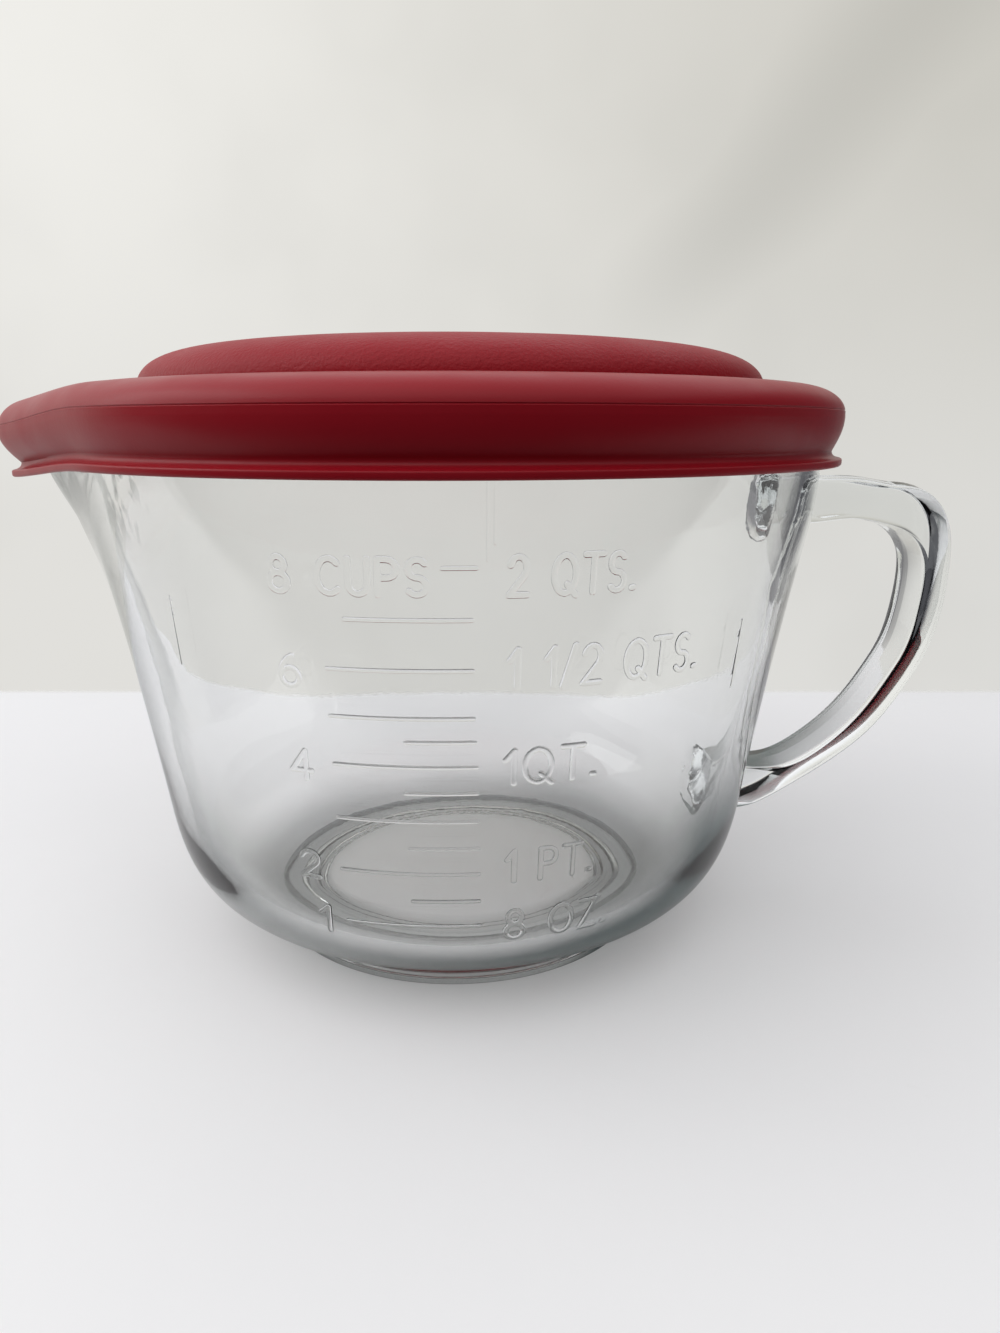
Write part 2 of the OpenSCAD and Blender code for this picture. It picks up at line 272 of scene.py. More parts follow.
def resample(points, step):
    """The outline's points again, evenly spread, about step apart"""
    points = np.asarray(points, float)
    along = np.concatenate([[0], np.cumsum(np.linalg.norm(np.diff(points, axis=0), axis=1))])
    s = np.linspace(0, along[-1], max(3, int(along[-1] / step) + 1))
    return np.stack([np.interp(s, along, points[:, k]) for k in range(points.shape[1])], 1)


def rounded(corners, radii, steps):
    """A closed polygon with its corners rounded"""
    corners = np.array(corners, float)
    points = []
    for i, (corner, radius) in enumerate(zip(corners, radii)):
        back = corners[i - 1] - corner
        ahead = corners[(i + 1) % len(corners)] - corner
        back /= np.linalg.norm(back)
        ahead /= np.linalg.norm(ahead)
        half = math.acos(np.clip(back @ ahead, -1, 1)) / 2
        middle = (back + ahead) / np.linalg.norm(back + ahead)
        centre = corner + middle * radius / math.sin(half)
        start = corner + back * radius / math.tan(half) - centre
        end = corner + ahead * radius / math.tan(half) - centre
        a0 = math.atan2(start[1], start[0])
        turn = (math.atan2(end[1], end[0]) - a0 + math.pi) % (2 * math.pi) - math.pi
        for k in range(steps):
            a = a0 + turn * k / (steps - 1)
            points.append(centre + radius * np.array([math.cos(a), math.sin(a)]))
    return np.array(points)


def mesh_object(name, points, faces):
    mesh = bpy.data.meshes.new(name)
    mesh.from_pydata([tuple(p) for p in np.asarray(points) * MM], [], faces)
    mesh.validate()
    piece = bpy.data.objects.new(name, mesh)
    bpy.context.scene.collection.objects.link(piece)
    return piece


def lathe_faces(rows, columns):
    """Faces of a closed skin of rows x columns points, with a pole at each end after them"""
    faces = []
    for i in range(rows - 1):
        for j in range(columns):
            k = (j + 1) % columns
            faces.append((i * columns + j, i * columns + k, (i + 1) * columns + k, (i + 1) * columns + j))
    first, last = rows * columns, rows * columns + 1
    top = (rows - 1) * columns
    for j in range(columns):
        k = (j + 1) % columns
        faces.append((first, k, j))
        faces.append((last, top + j, top + k))
    return faces


def skin_of_rings(name, rings):
    """A closed mesh through the rings, with its first and last ring closed"""
    rings = np.array(rings)
    rows, columns = rings.shape[:2]
    points = np.concatenate([rings.reshape(-1, 3), [rings[0].mean(0), rings[-1].mean(0)]])
    piece = mesh_object(name, points, lathe_faces(rows, columns))
    face_out(piece)
    return piece


def face_out(piece):
    """Turns every face outward"""
    bm = bmesh.new()
    bm.from_mesh(piece.data)
    bmesh.ops.recalc_face_normals(bm, faces=bm.faces)
    if bm.calc_volume(signed=True) < 0:
        bmesh.ops.reverse_faces(bm, faces=bm.faces)
    bm.to_mesh(piece.data)
    bm.free()


def unite(base, tool):
    """Joins the closed mesh tool to the closed mesh base"""
    modifier = base.modifiers.new("unite", "BOOLEAN")
    modifier.operation = "UNION"
    modifier.solver = "MANIFOLD"
    modifier.object = tool
    bpy.context.view_layer.update()
    graph = bpy.context.evaluated_depsgraph_get()
    made = bpy.data.meshes.new_from_object(base.evaluated_get(graph))
    base.modifiers.clear()
    base.data = made
    bpy.data.objects.remove(tool)


# Plan of the spout and of the lid's nose


def hull_radius(angle, main_r, nose_c, nose_r):
    """Distance from the axis to a band stretched round the main circle and the nose"""
    turn = math.acos(min(1.0, (main_r - nose_r) / nose_c))
    tip = math.atan2(nose_r * math.sin(turn), nose_c + nose_r * math.cos(turn))
    a = np.abs(angle)
    nose = nose_c * np.cos(a) + np.sqrt(np.maximum(nose_r**2 - (nose_c * np.sin(a)) ** 2, 0))
    side = main_r / np.cos(turn - np.minimum(a, turn))
    return np.where(a >= turn, main_r, np.where(a <= tip, nose, side))


def nose_excess(angles, main_r, nose_c, nose_r, soft_deg):
    """How far the nose stands out of the main circle at each angle from the spout"""
    if nose_c + nose_r - main_r < 0.02:
        return np.zeros_like(angles)
    grid = np.radians(np.arange(-90, 90.01, 0.25))
    out = hull_radius(grid, main_r, nose_c, nose_r) - main_r
    reach = np.radians(soft_deg)
    kernel = np.exp(-0.5 * (grid / reach) ** 2)
    soft = np.convolve(out, kernel / kernel.sum(), mode="same")
    soft *= out.max() / soft.max()
    return np.interp(angles, grid, soft, left=0, right=0)


def spout_dip(x):
    """How far the rim and the lid fall at x, towards the spout's lip"""
    return SPOUT_DIP * smooth_step((-x - DIP_START) / (DIP_END - DIP_START) * 0.9)


def wall_angles():
    """Directions of the glass mesh's columns, closest together round the spout"""
    fine = np.arange(180 - 44, 180 + 44, 0.5)
    rest = np.arange(-136, 136, 0.75)
    return np.radians(np.sort(np.concatenate([fine, rest]) % 360))


THETA = wall_angles()
FROM_SPOUT = THETA - math.pi


# Glass outline


def wall_r(z):
    t = (z - HEEL_H) / (WALL_TOP_Z - HEEL_H)
    return HEEL_R + (WALL_TOP_R - HEEL_R) * t - 4 * WALL_BOW * t * (1 - t)


WALL_LEAN = math.atan((WALL_TOP_R - HEEL_R - 4 * WALL_BOW) / (WALL_TOP_Z - HEEL_H))
TOP_LEAN = math.atan((WALL_TOP_R - HEEL_R + 4 * WALL_BOW) / (WALL_TOP_Z - HEEL_H))


def wall_run(low_z, high_z, count, inset=0.0):
    z = np.linspace(low_z, high_z, count)
    return np.stack([wall_r(z) - inset, z], 1)


def swell_run(low_z, inset, top_r, count):
    """From the leaning wall into the upright band"""
    low = np.array([wall_r(low_z) - inset, low_z])
    lean = np.array([math.sin(TOP_LEAN), math.cos(TOP_LEAN)])
    return bezier(low, low + lean * 8, (top_r, SWELL_HIGH - 8), (top_r, SWELL_HIGH), count)


def outer_run():
    """Outside of the glass from the foot's upright side to the rim's rounding"""
    low = np.array([FOOT_R, FOOT_H + FOOT_ROUND * 2])
    arm = (HEEL_R - FOOT_R) * HEEL_ARM_SHARE
    rise = (HEEL_H - FOOT_H) * HEEL_SIDE_SHARE
    a = math.radians(HEEL_ANGLE)
    heel = bezier(
        low,
        low + arm * np.array([math.cos(a), math.sin(a)]),
        (HEEL_R - rise * math.sin(WALL_LEAN), HEEL_H - rise * math.cos(WALL_LEAN)),
        (HEEL_R, HEEL_H),
        34,
    )
    return join(
        heel,
        wall_run(HEEL_H, SWELL_LOW, 40),
        swell_run(SWELL_LOW, 0, RIM_R, 16),
        line((RIM_R, SWELL_HIGH), (RIM_R, BOWL_H - RIM_ROUND), 9),
    )


def inner_run():
    """Inside of the glass from the floor's middle to the rim's rounding"""
    inner_r = wall_r(INNER_HEEL_H) - WALL_T
    rise = (INNER_HEEL_H - FLOOR_H) * INNER_SIDE_SHARE
    heel = bezier(
        (FLOOR_R, FLOOR_H),
        (FLOOR_R + (inner_r - FLOOR_R) * INNER_ARM_SHARE, FLOOR_H),
        (inner_r - rise * math.sin(WALL_LEAN), INNER_HEEL_H - rise * math.cos(WALL_LEAN)),
        (inner_r, INNER_HEEL_H),
        34,
    )
    top_r = RIM_R - RIM_T
    return join(
        line((2.0, FLOOR_H), (FLOOR_R, FLOOR_H), 16),
        heel,
        wall_run(INNER_HEEL_H, INNER_SWELL_LOW, 36, WALL_T),
        swell_run(INNER_SWELL_LOW, WALL_T, top_r, 18),
        line((top_r, SWELL_HIGH), (top_r, BOWL_H - RIM_ROUND), 9),
    )


OUTER = outer_run()
INNER = inner_run()


def outer_r(z):
    return np.interp(z, OUTER[:, 1], OUTER[:, 0])


def inner_r(z):
    return np.interp(z, INNER[:, 1], INNER[:, 0])


def under_run():
    """Underside from the middle of the hollow to the foot's upright side"""
    step = spline(
        [
            (DISC_R - 1.6, HOLLOW_H),
            (DISC_R - 0.7, HOLLOW_H - 0.1),
            (DISC_R + 0.2, HOLLOW_H - 0.75),
            (DISC_R + 1.1, HOLLOW_H - 0.55),
            (DISC_R + 2.1, HOLLOW_H - 1.0),
            (DISC_R + 3.6, HOLLOW_H - 0.8),
        ],
        np.linspace(0, 1, 26),
    )
    inner_foot = FOOT_R - FOOT_W
    return join(
        line((2.0, HOLLOW_H), (DISC_R - 1.6, HOLLOW_H), 14),
        step,
        bezier(
            step[-1],
            (inner_foot - 0.6, HOLLOW_H - 0.8),
            (inner_foot - 1.0, 0),
            (inner_foot + 0.4, 0),
            10,
        ),
        line((inner_foot + 0.4, 0), (FOOT_R - FOOT_ROUND, 0), 4),
        arc((FOOT_R - FOOT_ROUND, FOOT_ROUND), FOOT_ROUND, FOOT_ROUND, -90, 0, 7),
        line((FOOT_R, FOOT_ROUND), (FOOT_R, FOOT_H), 4),
        bezier(
            (FOOT_R, FOOT_H),
            (FOOT_R, FOOT_H + 0.8),
            (FOOT_R - 0.1, FOOT_H + FOOT_ROUND * 1.6),
            (FOOT_R, FOOT_H + FOOT_ROUND * 2),
            5,
        ),
    )


def glass_outline():
    """Points of the half outline with, for each, 1 on the outside and 0 on the inside"""
    rim = join(
        arc((RIM_R - RIM_ROUND, BOWL_H - RIM_ROUND), RIM_ROUND, RIM_ROUND, 0, 90, 9),
        arc((RIM_R - RIM_T + RIM_ROUND, BOWL_H - RIM_ROUND), -RIM_ROUND, RIM_ROUND, 90, 0, 9),
    )
    outside = join(under_run(), OUTER)
    points = join(outside, rim, INNER[::-1])
    share = (points[:, 0] - (RIM_R - RIM_T)) / RIM_T
    share = np.where(points[:, 1] >= BOWL_H - RIM_ROUND, share, 0)
    share[: len(outside)] = 1
    return points, np.clip(share, 0, 1)


def glass_wave(z, side):
    """Faint unevenness that pressing leaves in the glass"""
    if z < FLOOR_H + 2 and side > 0.5:
        return np.zeros_like(THETA)
    outside = 0.035 * np.sin(5 * THETA + z / 17) + 0.02 * np.sin(11 * THETA - z / 9 + 1)
    inside = 0.11 * np.sin(3 * THETA - z / 23 + 2) + 0.06 * np.sin(8 * THETA + z / 12)
    return side * outside + (1 - side) * inside


def spout_bulge(z, side):
    """How far the spout pushes the outside or the inside out at height z"""
    rise = np.array(SPOUT_RISE, float)
    out = float(np.interp(z, rise[:, 0], rise[:, 1]))
    if out <= 0 or (side == 0 and z < INNER_HEEL_H):
        return np.zeros_like(THETA)
    outer, inner = float(outer_r(z)), float(inner_r(z))
    nose_out = nose_excess(FROM_SPOUT, outer, outer + out - SPOUT_R, SPOUT_R, SPOUT_SOFT_DEG)
    nose_in_r = SPOUT_R - SPOUT_T
    in_c = outer + out - SPOUT_T - nose_in_r
    nose_in = nose_excess(FROM_SPOUT, inner, in_c, nose_in_r, SPOUT_SOFT_DEG) * min(1.0, out / 2.0)
    return side * nose_out + (1 - side) * nose_in


def make_glass_wall():
    points, share = glass_outline()
    rings = []
    for (r, z), side in zip(points, share):
        radius = r + spout_bulge(z, side) + glass_wave(z, side)
        x = radius * np.cos(THETA)
        y = radius * np.sin(THETA)
        high = smooth_step((z - WALL_TOP_Z) / (BOWL_H - WALL_TOP_Z))
        rings.append(np.stack([x, y, z - spout_dip(x) * high], 1))
    return skin_of_rings("glass_vessel", rings)


# Handle


def handle_section(thick, wide, roof_deg, at_root):
    """Cross-section, out of the loop and across: roofed outside, drafted inside, and
    rounder by at_root where it grows out of the wall"""
    a, b = thick / 2, wide / 2
    shift = HANDLE_RIDGE_SHIFT * b
    slope = math.tan(math.radians(roof_deg))
    back, front = a - slope * (b - shift), a - slope * (b + shift)
    draft = b * math.tan(math.radians(HANDLE_DRAFT_DEG)) - a
    corners = [(a, shift), (back, b), (draft, b), (-a, 0), (draft, -b), (front, -b)]
    edges = np.array([HANDLE_RIDGE_ROUND, HANDLE_OUT_ROUND, HANDLE_IN_ROUND])
    soft = np.array([ROOT_ROUND * 2, ROOT_ROUND, ROOT_ROUND])
    ridge_r, out_r, in_r = edges + (soft - edges) * at_root
    return rounded(corners, [ridge_r, out_r, in_r, ridge_r, in_r, out_r], 9)


def handle_path():
    """Middle line in the handle's plane with its thickness and width, closest at its ends"""
    rows = np.array(HANDLE_SHARES)
    rows[:, 1] *= BOWL_H
    rows[:, 0] = outer_r(rows[:, 1]) + rows[:, 0] * HANDLE_OUT
    rows[:, 2] *= HANDLE_T
    rows[:, 3] *= HANDLE_W
    even = np.linspace(0, 1, 170)
    return spline(rows, 0.35 * even + 0.65 * (1 - np.cos(math.pi * even)) / 2)


def root_fillet(gap):
    near = np.clip(HANDLE_FILLET - gap, 0, HANDLE_FILLET * 0.95)
    return HANDLE_FILLET - np.sqrt(HANDLE_FILLET**2 - near**2)


def place_section(x, z, ax, az, section):
    """The section's points at x, z, square to the path's direction ax, az there"""
    out, across = section.T
    return np.stack([x - az * out, across, z + ax * out], 1)


def make_handle():
    path = handle_path()
    along = np.gradient(path[:, :2], axis=0)
    along /= np.linalg.norm(along, axis=1)[:, None]
    roof_z, roof_deg = np.array(HANDLE_ROOF_DEG).T
    rings = []
    for (x, z, thick, wide), (ax, az) in zip(path, along):
        at_root = smooth_step(1 - (x - outer_r(z)) / ROOT_REACH)
        section = handle_section(thick, wide, np.interp(z / BOWL_H, roof_z, roof_deg), at_root)
        ring = place_section(x, z, ax, az, section)
        gap = np.hypot(ring[:, 0], ring[:, 1]) - outer_r(ring[:, 2])
        away = section / np.linalg.norm(section, axis=1)[:, None]
        ring = place_section(x, z, ax, az, section + away * root_fillet(gap)[:, None])
        reach = np.hypot(ring[:, 0], ring[:, 1])
        least = outer_r(ring[:, 2]) - HANDLE_SUNK
        ring[:, :2] *= (np.maximum(reach, least) / reach)[:, None]
        rings.append(ring)
    return skin_of_rings("handle_sweep", rings)


# Raised measuring scale


def bend_to_wall(u, z, rise):
    """Places points along the wall's front: u mm along it, at height z, rise mm out"""
    r = outer_r(z)
    a = -math.pi / 2 + u / r
    out = r + rise
    return np.stack([out * np.cos(a), out * np.sin(a), z], 1)


def ridge(path, width, height=MARK_RISE):
    """A raised stroke with a rounded face and round ends along the path on the wall"""
    path = resample(path, 0.7)
    along = np.gradient(path, axis=0)
    along /= np.linalg.norm(along, axis=1)[:, None]
    caps = np.array([0.97, 0.75, 0.4])
    start = path[0] - along[0] * width / 2 * caps[:, None]
    end = path[-1] + along[-1] * width / 2 * caps[::-1, None]
    size = np.sqrt(1 - caps**2)
    points = np.concatenate([start, path, end])
    along = np.concatenate([along[:1].repeat(3, 0), along, along[-1:].repeat(3, 0)])
    size = np.concatenate([size, np.ones(len(path)), size[::-1]])
    angles = np.radians(np.linspace(0, 180, 9))
    rings = []
    for (u, z), (au, az), s in zip(points, along, size):
        across = np.concatenate([np.cos(angles), [-1, 1]]) * width / 2 * s
        rise = np.concatenate([np.sin(angles) * height * s, [-MARK_SINK, -MARK_SINK]])
        rings.append(bend_to_wall(u - az * across, z + au * across, rise))
    return skin_of_rings("stroke", rings)


def ring_strokes(centre, rx, rz):
    """A closed loop as two strokes that overlap"""
    return [arc(centre, rx, rz, 88, 272, 14), arc(centre, rx, rz, 268, 452, 14)]


def glyph(letter):
    """Width and strokes of a number or letter of height 1"""
    up, foot = (0, 1), (0, 0)
    if letter == "1":
        return 0.25, [[(0, 0.72), (0.25, 1)], [(0.25, 1), (0.25, 0)]]
    if letter == "2":
        hook = join(arc((0.3, 0.71), 0.28, 0.29, 165, -38, 12), [(0.03, 0.03)])
        return 0.6, [hook, [(0, 0), (0.6, 0)]]
    if letter == "4":
        return 0.64, [[(0.46, 0), (0.46, 1)], [(0.46, 1), (0, 0.3)], [(0, 0.3), (0.64, 0.3)]]
    if letter == "6":
        return 0.62, ring_strokes((0.31, 0.3), 0.3, 0.3) + [arc((0.56, 0.34), 0.55, 0.66, 180, 106, 9)]
    if letter == "8":
        return 0.62, ring_strokes((0.31, 0.27), 0.31, 0.27) + ring_strokes((0.31, 0.77), 0.24, 0.23)
    if letter == "C":
        return 0.66, [arc((0.38, 0.5), 0.38, 0.5, 48, 312, 20)]
    if letter == "O":
        return 0.78, ring_strokes((0.39, 0.5), 0.39, 0.5)
    if letter == "P":
        turn = arc((0.28, 0.74), 0.28, 0.26, 90, -90, 10)
        return 0.56, [[foot, up], join([(0, 1), (0.26, 1)], turn, [(0.26, 0.48), (0, 0.48)])]
    if letter == "Q":
        return 0.8, ring_strokes((0.39, 0.5), 0.39, 0.5) + [[(0.48, 0.24), (0.8, -0.06)]]
    if letter == "S":
        top = arc((0.29, 0.745), 0.27, 0.255, 35, 270, 12)
        return 0.58, [join(top, arc((0.29, 0.25), 0.28, 0.25, 88, -145, 12))]
    if letter == "T":
        return 0.64, [[up, (0.64, 1)], [(0.32, 1), (0.32, 0)]]
    if letter == "U":
        turn = arc((0.29, 0.3), 0.29, 0.3, 180, 360, 12)
        return 0.58, [join([up, (0, 0.3)], turn, [(0.58, 0.3), (0.58, 1)])]
    if letter == "Z":
        return 0.62, [[(0.02, 1), (0.6, 1)], [(0.6, 1), (0.02, 0)], [(0.02, 0), (0.62, 0)]]
    if letter == "/":
        return 0.4, [[(0, -0.04), (0.4, 1.04)]]
    if letter == ".":
        return 0.08, [[(0, 0.05), (0.08, 0.05)]]
    return WORD_SPACE, []


def word_strokes(text, left, right, foot_z, height):
    """Strokes of a word of numbers and units, laid out between left and right"""
    glyphs = [glyph(letter) for letter in text]
    whole = sum(wide for wide, _ in glyphs) + LETTER_GAP * (len(glyphs) - 1)
    scale = (right - left) / whole
    strokes = []
    at = 0.0
    for wide, paths in glyphs:
        for path in paths:
            path = np.asarray(path, float)
            u = left + (at + path[:, 0]) * scale
            strokes.append(np.stack([u, foot_z + path[:, 1] * height], 1))
        at += wide + LETTER_GAP
    return strokes


def make_marks():
    """Every raised line and word of the scale, as one mesh"""
    parts = [ridge([(left, z), (right, z)], LINE_W) for left, right, z in LINES]
    parts += [ridge([(u, low), (u, high)], SEAM_W, SEAM_RISE) for u, low, high in SEAMS]
    for word in WORDS:
        parts += [ridge(stroke, STROKE_W) for stroke in word_strokes(*word)]
    whole = parts[0]
    for part in parts[1:]:
        unite(whole, part)
    return whole


# Lid


def ring_run(r, w, t):
    """The rounded ring from its crest to the parting line, drawn in by t"""
    height = CREST_Z - PART_Z
    lean = math.tan(math.radians(CREASE_DEG))
    sine = 0.0
    for _ in range(20):
        up = height / (1 - sine)
        angle = math.atan(lean * up / w)
        sine = math.sin(angle)
    wide = w / math.cos(angle)
    centre = (r - GROOVE - w, CREST_Z - up)
    return arc(centre, wide - t, up - t, 90, math.degrees(angle), 18)


def band_run(r, w, swell, t):
    """Ring, parting groove and skirt from the crest to the neck, drawn in by t"""
    top = ring_run(r, w, t)
    groove = [(r - t - GROOVE * 1.6, PART_Z - 0.12), (r - t - GROOVE * 1.6, PART_Z - 0.26)]
    low = PART_Z - SIDE_H
    side = line((r - t - 0.05, PART_Z - 0.42), (r - t + 0.03, low), 5)
    a = np.radians(np.linspace(4, 90, 18))
    skirt = np.stack([r - t - swell * (1 - np.cos(a)), low - (low - NECK_Z) * a / (math.pi / 2)], 1)
    return join(top, groove, side, skirt)


def lid_rows(t):
    """Rows from the ring's crest to the hem: main radius, nose radius and height"""
    main = band_run(LID_R, RING_W, LID_SWELL, t)
    nose = band_run(NOSE_R, NOSE_ROUND, NOSE_SWELL, t)
    rows = [(m[0], n[0], m[1], n[1]) for m, n in zip(main, nose)]
    neck, nose_neck = NECK_R - t, NOSE_R - NOSE_SWELL - t
    if t > 0:
        rows += [(neck, nose_neck, z, z) for z in np.linspace(NECK_Z - 0.4, HEM_Z, 8)]
        return rows
    edge = LID_FLANGE_R - NECK_R
    top = HEM_Z + FLANGE_T
    bend = [(0.0, NECK_Z - 0.3), (0.15, top + 0.9), (0.9, top + 0.25), (edge - 0.5, top - 0.05)]
    profile = join(
        spline(bend, np.linspace(0, 1, 9)),
        arc((edge - 0.5, top - 0.55), 0.5, 0.5, 90, 0, 5),
        arc((edge - 0.6, HEM_Z + 0.6), 0.6, 0.6, 0, -90, 5),
        line((edge - 0.6, HEM_Z), (0.4 - LID_T, HEM_Z), 5),
    )
    rows += [(NECK_R + p[0], nose_neck + p[0], p[1], p[1]) for p in profile]
    return rows


def dome_rows(t):
    """Radii and heights of the raised middle, from its edge in to the axis"""
    a = np.radians(np.linspace(90, 1.5, 44))
    r = (DOME_R - t) * np.sin(a)
    rise = (LID_TOP - CREST_Z) * np.power(1 - np.power(r / (DOME_R - t), DOME_ACROSS), 1 / DOME_UP)
    foot = 0.9 * np.exp(-((DOME_R - t - r) / 1.2))
    return [(x, CREST_Z - t + h - VALLEY * 0.5 * f) for x, h, f in zip(r, rise, foot)]


def band_ring(main_r, nose_r, main_z, nose_z):
    excess = nose_excess(FROM_SPOUT, main_r, NOSE_C, nose_r, NOSE_SOFT_DEG)
    share = np.clip(excess / max(excess.max(), 0.01), 0, 1)
    r = main_r + excess
    x, y = r * np.cos(THETA), r * np.sin(THETA)
    return np.stack([x, y, main_z + (nose_z - main_z) * share - spout_dip(x)], 1)


def flat_rings(t):
    """The flat between the raised middle's edge and the ring's crest"""
    crest = band_ring(*lid_rows(t)[0])
    crest_r = np.hypot(crest[:, 0], crest[:, 1])
    edge_r = DOME_R - t
    rings = []
    for q in np.linspace(0, 1, 9)[1:-1]:
        r = edge_r + (crest_r - edge_r) * q
        x, y = r * np.cos(THETA), r * np.sin(THETA)
        sag = VALLEY * (4 * q * (1 - q)) ** 2
        rings.append(np.stack([x, y, CREST_Z - t - sag - spout_dip(x)], 1))
    return rings


def dome_ring(r, z):
    return np.stack([r * np.cos(THETA), r * np.sin(THETA), np.full_like(THETA, z)], 1)


def lid_side(t):
    dome = [dome_ring(*row) for row in dome_rows(t)][::-1]
    return dome + flat_rings(t) + [band_ring(*row) for row in lid_rows(t)]


def make_lid():
    return skin_of_rings("lid_shell", lid_side(0) + lid_side(LID_T)[::-1])


# Materials


class Nodes:
    """A material's or a world's node tree, written as nested calls"""

    def __init__(self, tree):
        self.tree = tree
        tree.nodes.clear()

    def add(self, kind, inputs=None, **settings):
        node = self.tree.nodes.new(kind)
        for key, value in settings.items():
            setattr(node, key, value)
        for key, value in (inputs or {}).items():
            if isinstance(value, bpy.types.NodeSocket):
                self.tree.links.new(value, node.inputs[key])
            else:
                node.inputs[key].default_value = value
        return node

    def math(self, operation, *values):
        inputs = dict(enumerate(values))
        return self.add("ShaderNodeMath", inputs, operation=operation).outputs[0]

    def noise(self, vector, scale, detail=2.0, roughness=0.5):
        inputs = {"Vector": vector, "Scale": scale, "Detail": detail, "Roughness": roughness}
        return self.add("ShaderNodeTexNoise", inputs).outputs[0]

    def ramp(self, value, low, high, to_low=0.0, to_high=1.0):
        inputs = {0: value, 1: low, 2: high, 3: to_low, 4: to_high}
        node = self.add("ShaderNodeMapRange", inputs, interpolation_type="SMOOTHSTEP")
        return node.outputs[0]

    def mix(self, share, a, b):
        node = self.add("ShaderNodeMix", data_type="RGBA")
        for socket, value in ((node.inputs[0], share), (node.inputs[6], a), (node.inputs[7], b)):
            if isinstance(value, bpy.types.NodeSocket):
                self.tree.links.new(value, socket)
            else:
                socket.default_value = value
        return node.outputs[2]


def new_material(name):
    material = bpy.data.materials.new(name)
    material.use_nodes = True
    return material, Nodes(material.node_tree)


def outside_of_glass(n, across, height):
    """1 on the glass's outer skin and 0 on its inner one, told by the middle between them"""
    above = n.math("SUBTRACT", height, HEEL_H * MM)
    under = n.math("POWER", n.math("ABSOLUTE", n.math("MINIMUM", above, 0.0)), 2.0)
    lean = n.math("MULTIPLY", n.math("MAXIMUM", above, 0.0), math.tan(WALL_LEAN))
    wall = n.math("ADD", lean, (HEEL_R - WALL_T / 2) * MM)
    middle = n.math("SUBTRACT", wall, n.math("MULTIPLY", under, HEEL_CURVE))
    return n.ramp(n.math("SUBTRACT", across, middle), -0.0006, 0.0006)


def painted_base_shade(n, grazing, along, across, height):
    """Painted shade in the glass's colour: how dark the heel, the foot ring and the corner inside are
    painted, seen along the surface, standing for dark reflections of the shaded floor under the bowl
    """
    outside = outside_of_glass(n, across, height)
    # Painted shade: the heel's outer skin is painted darker low down, and more so towards +X.
    heel = n.math("MULTIPLY", outside, n.ramp(height, 0.075, 0.034))
    heel = n.math("MULTIPLY", heel, n.ramp(along, -0.07, 0.05, 0.7, 1.0))
    # Painted shade: the foot ring, out past 44 mm and below 12 mm, is painted dark.
    ring = n.math("MULTIPLY", n.ramp(across, 0.044, 0.05), n.ramp(height, 0.012, 0.007))
    thick = n.math("MAXIMUM", heel, n.math("MULTIPLY", ring, 0.8))
    # Painted shade: the lowest glass is painted darker on its +X side, away from the light at -X.
    low = n.math("MULTIPLY", n.ramp(height, 0.03, 0.014), n.ramp(along, 0.0, 0.045, 0.0, 0.16))
    seen = n.ramp(n.math("ADD", grazing, low), 0.2, 0.65)
    dim = n.math("MULTIPLY", seen, n.ramp(thick, 0.0, 1.0, 0.08, 1.0))
    dim = n.math("MAXIMUM", dim, n.math("MULTIPLY", ring, 0.45))
    # Painted shade: the corner inside, between the floor and the heel, is painted dark, most at the two ends
    # along X.
    corner = n.math("MULTIPLY", n.ramp(across, 0.037, 0.042), n.ramp(height, 0.02, 0.012))
    corner = n.math("MULTIPLY", corner, n.math("SUBTRACT", 1.0, outside))
    ends = n.ramp(n.math("ABSOLUTE", along), 0.01, 0.042, 0.2, 0.5)
    return n.math("MAXIMUM", dim, n.math("MULTIPLY", corner, ends))


def painted_spout_shade(n, grazing, at, along, height):
    """Painted shade in the glass's colour: dark streaks at the spout's lip, standing for dark reflections,
    and a dark edge on the wall beside it at grazing angles
    """
    flat = {0: at, 1: (1.0, 1.0, 0.16)}
    fall = n.add("ShaderNodeVectorMath", flat, operation="MULTIPLY").outputs[0]
    # Painted shade: dark streaks painted along the spout's lip.
    lip = n.math("MULTIPLY", n.ramp(along, -0.087, -0.095), n.ramp(height, 0.098, 0.112))
    edge = n.math("ADD", n.ramp(grazing, 0.2, 0.5, -0.12, 0.2), n.noise(fall, 260.0, 1.5))
    streak = n.math("MULTIPLY", lip, n.ramp(edge, 0.46, 0.6, 0.0, 0.95))
    # Painted shade: the wall's edge on the spout's side is painted dark at grazing angles.
    limb = n.math("MULTIPLY", n.ramp(along, -0.05, -0.08), n.ramp(grazing, 0.62, 0.92, 0.0, 0.9))
    return n.math("MAXIMUM", streak, limb)


def lamps_through(n, grazing, height):
    """What lamps shine through: less at grazing angles and through the thick foot"""
    side = n.ramp(grazing, 0.65, 1.0, 0.0, 0.4)
    foot = n.ramp(height, 0.007, 0.012, 0.7, 0.0)
    bend = n.ramp(height, 0.028, 0.045, 0.14, 0.0)
    held = n.math("MAXIMUM", side, n.math("MAXIMUM", foot, bend))
    return n.mix(held, (0.985, 0.995, 0.99, 1), (0.1, 0.11, 0.11, 1))


